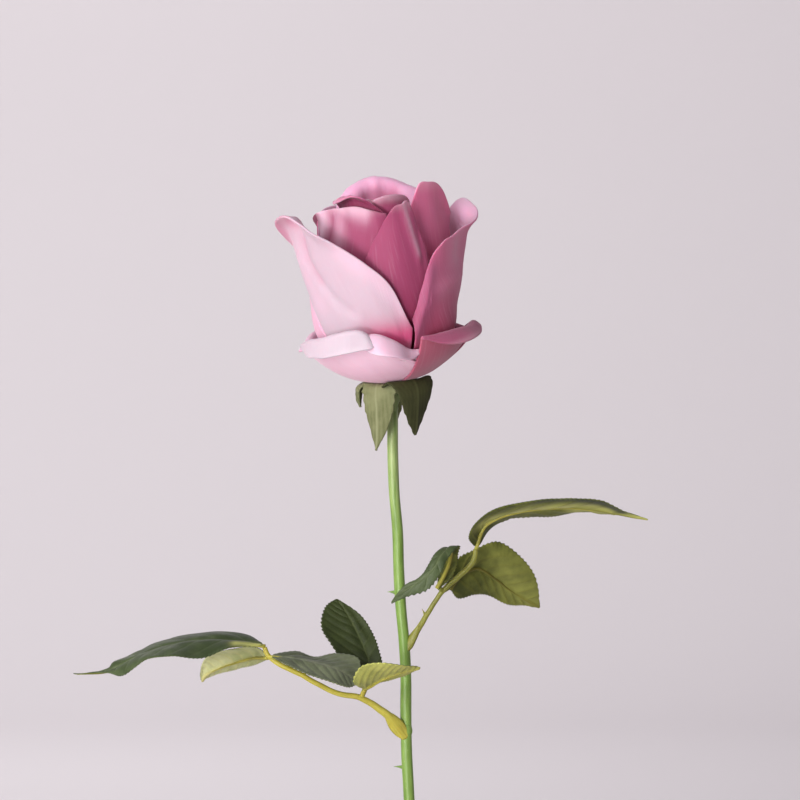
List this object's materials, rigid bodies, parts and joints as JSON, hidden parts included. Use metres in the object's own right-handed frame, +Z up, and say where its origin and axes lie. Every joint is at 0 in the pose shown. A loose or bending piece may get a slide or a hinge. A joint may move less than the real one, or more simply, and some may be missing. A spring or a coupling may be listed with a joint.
{
  "type": "rose in bud vase",
  "caption": "Single half-open rose on a long thorny stem with two compound leaves, leaning in a plain narrow-necked bud vase with water in it.",
  "frame": {"origin": "centre of the vase's flat foot, on the surface it stands on", "axes": "+Z up along the vase, +Y away from the viewer of the picture, +X to the viewer's right"},
  "size_m": [0.2005, 0.0681, 0.3804],
  "materials": {
    "vase": "plain satin glaze",
    "water": "clear",
    "stem": "smooth green bark",
    "sepal": "matte olive",
    "petal": "soft matte pink",
    "leaf_stalk": "smooth yellow green",
    "leaf": "matte dark green, paler below"
  },
  "bodies": {
    "root": {"vase": "vase", "water": "water", "stem": "stem", "calyx": "sepal", "bloom": "petal", "lower_leaf_stalk": "leaf_stalk", "upper_leaf_stalk": "leaf_stalk", "upper_leaflet_tip": "leaf", "upper_leaflet_left": "leaf", "upper_leaflet_right": "leaf", "lower_leaflet_tip": "leaf", "lower_leaflet_outer_front": "leaf", "lower_leaflet_outer_back": "leaf", "lower_leaflet_inner_front": "leaf", "lower_leaflet_inner_back": "leaf"}
  },
  "joints": []
}
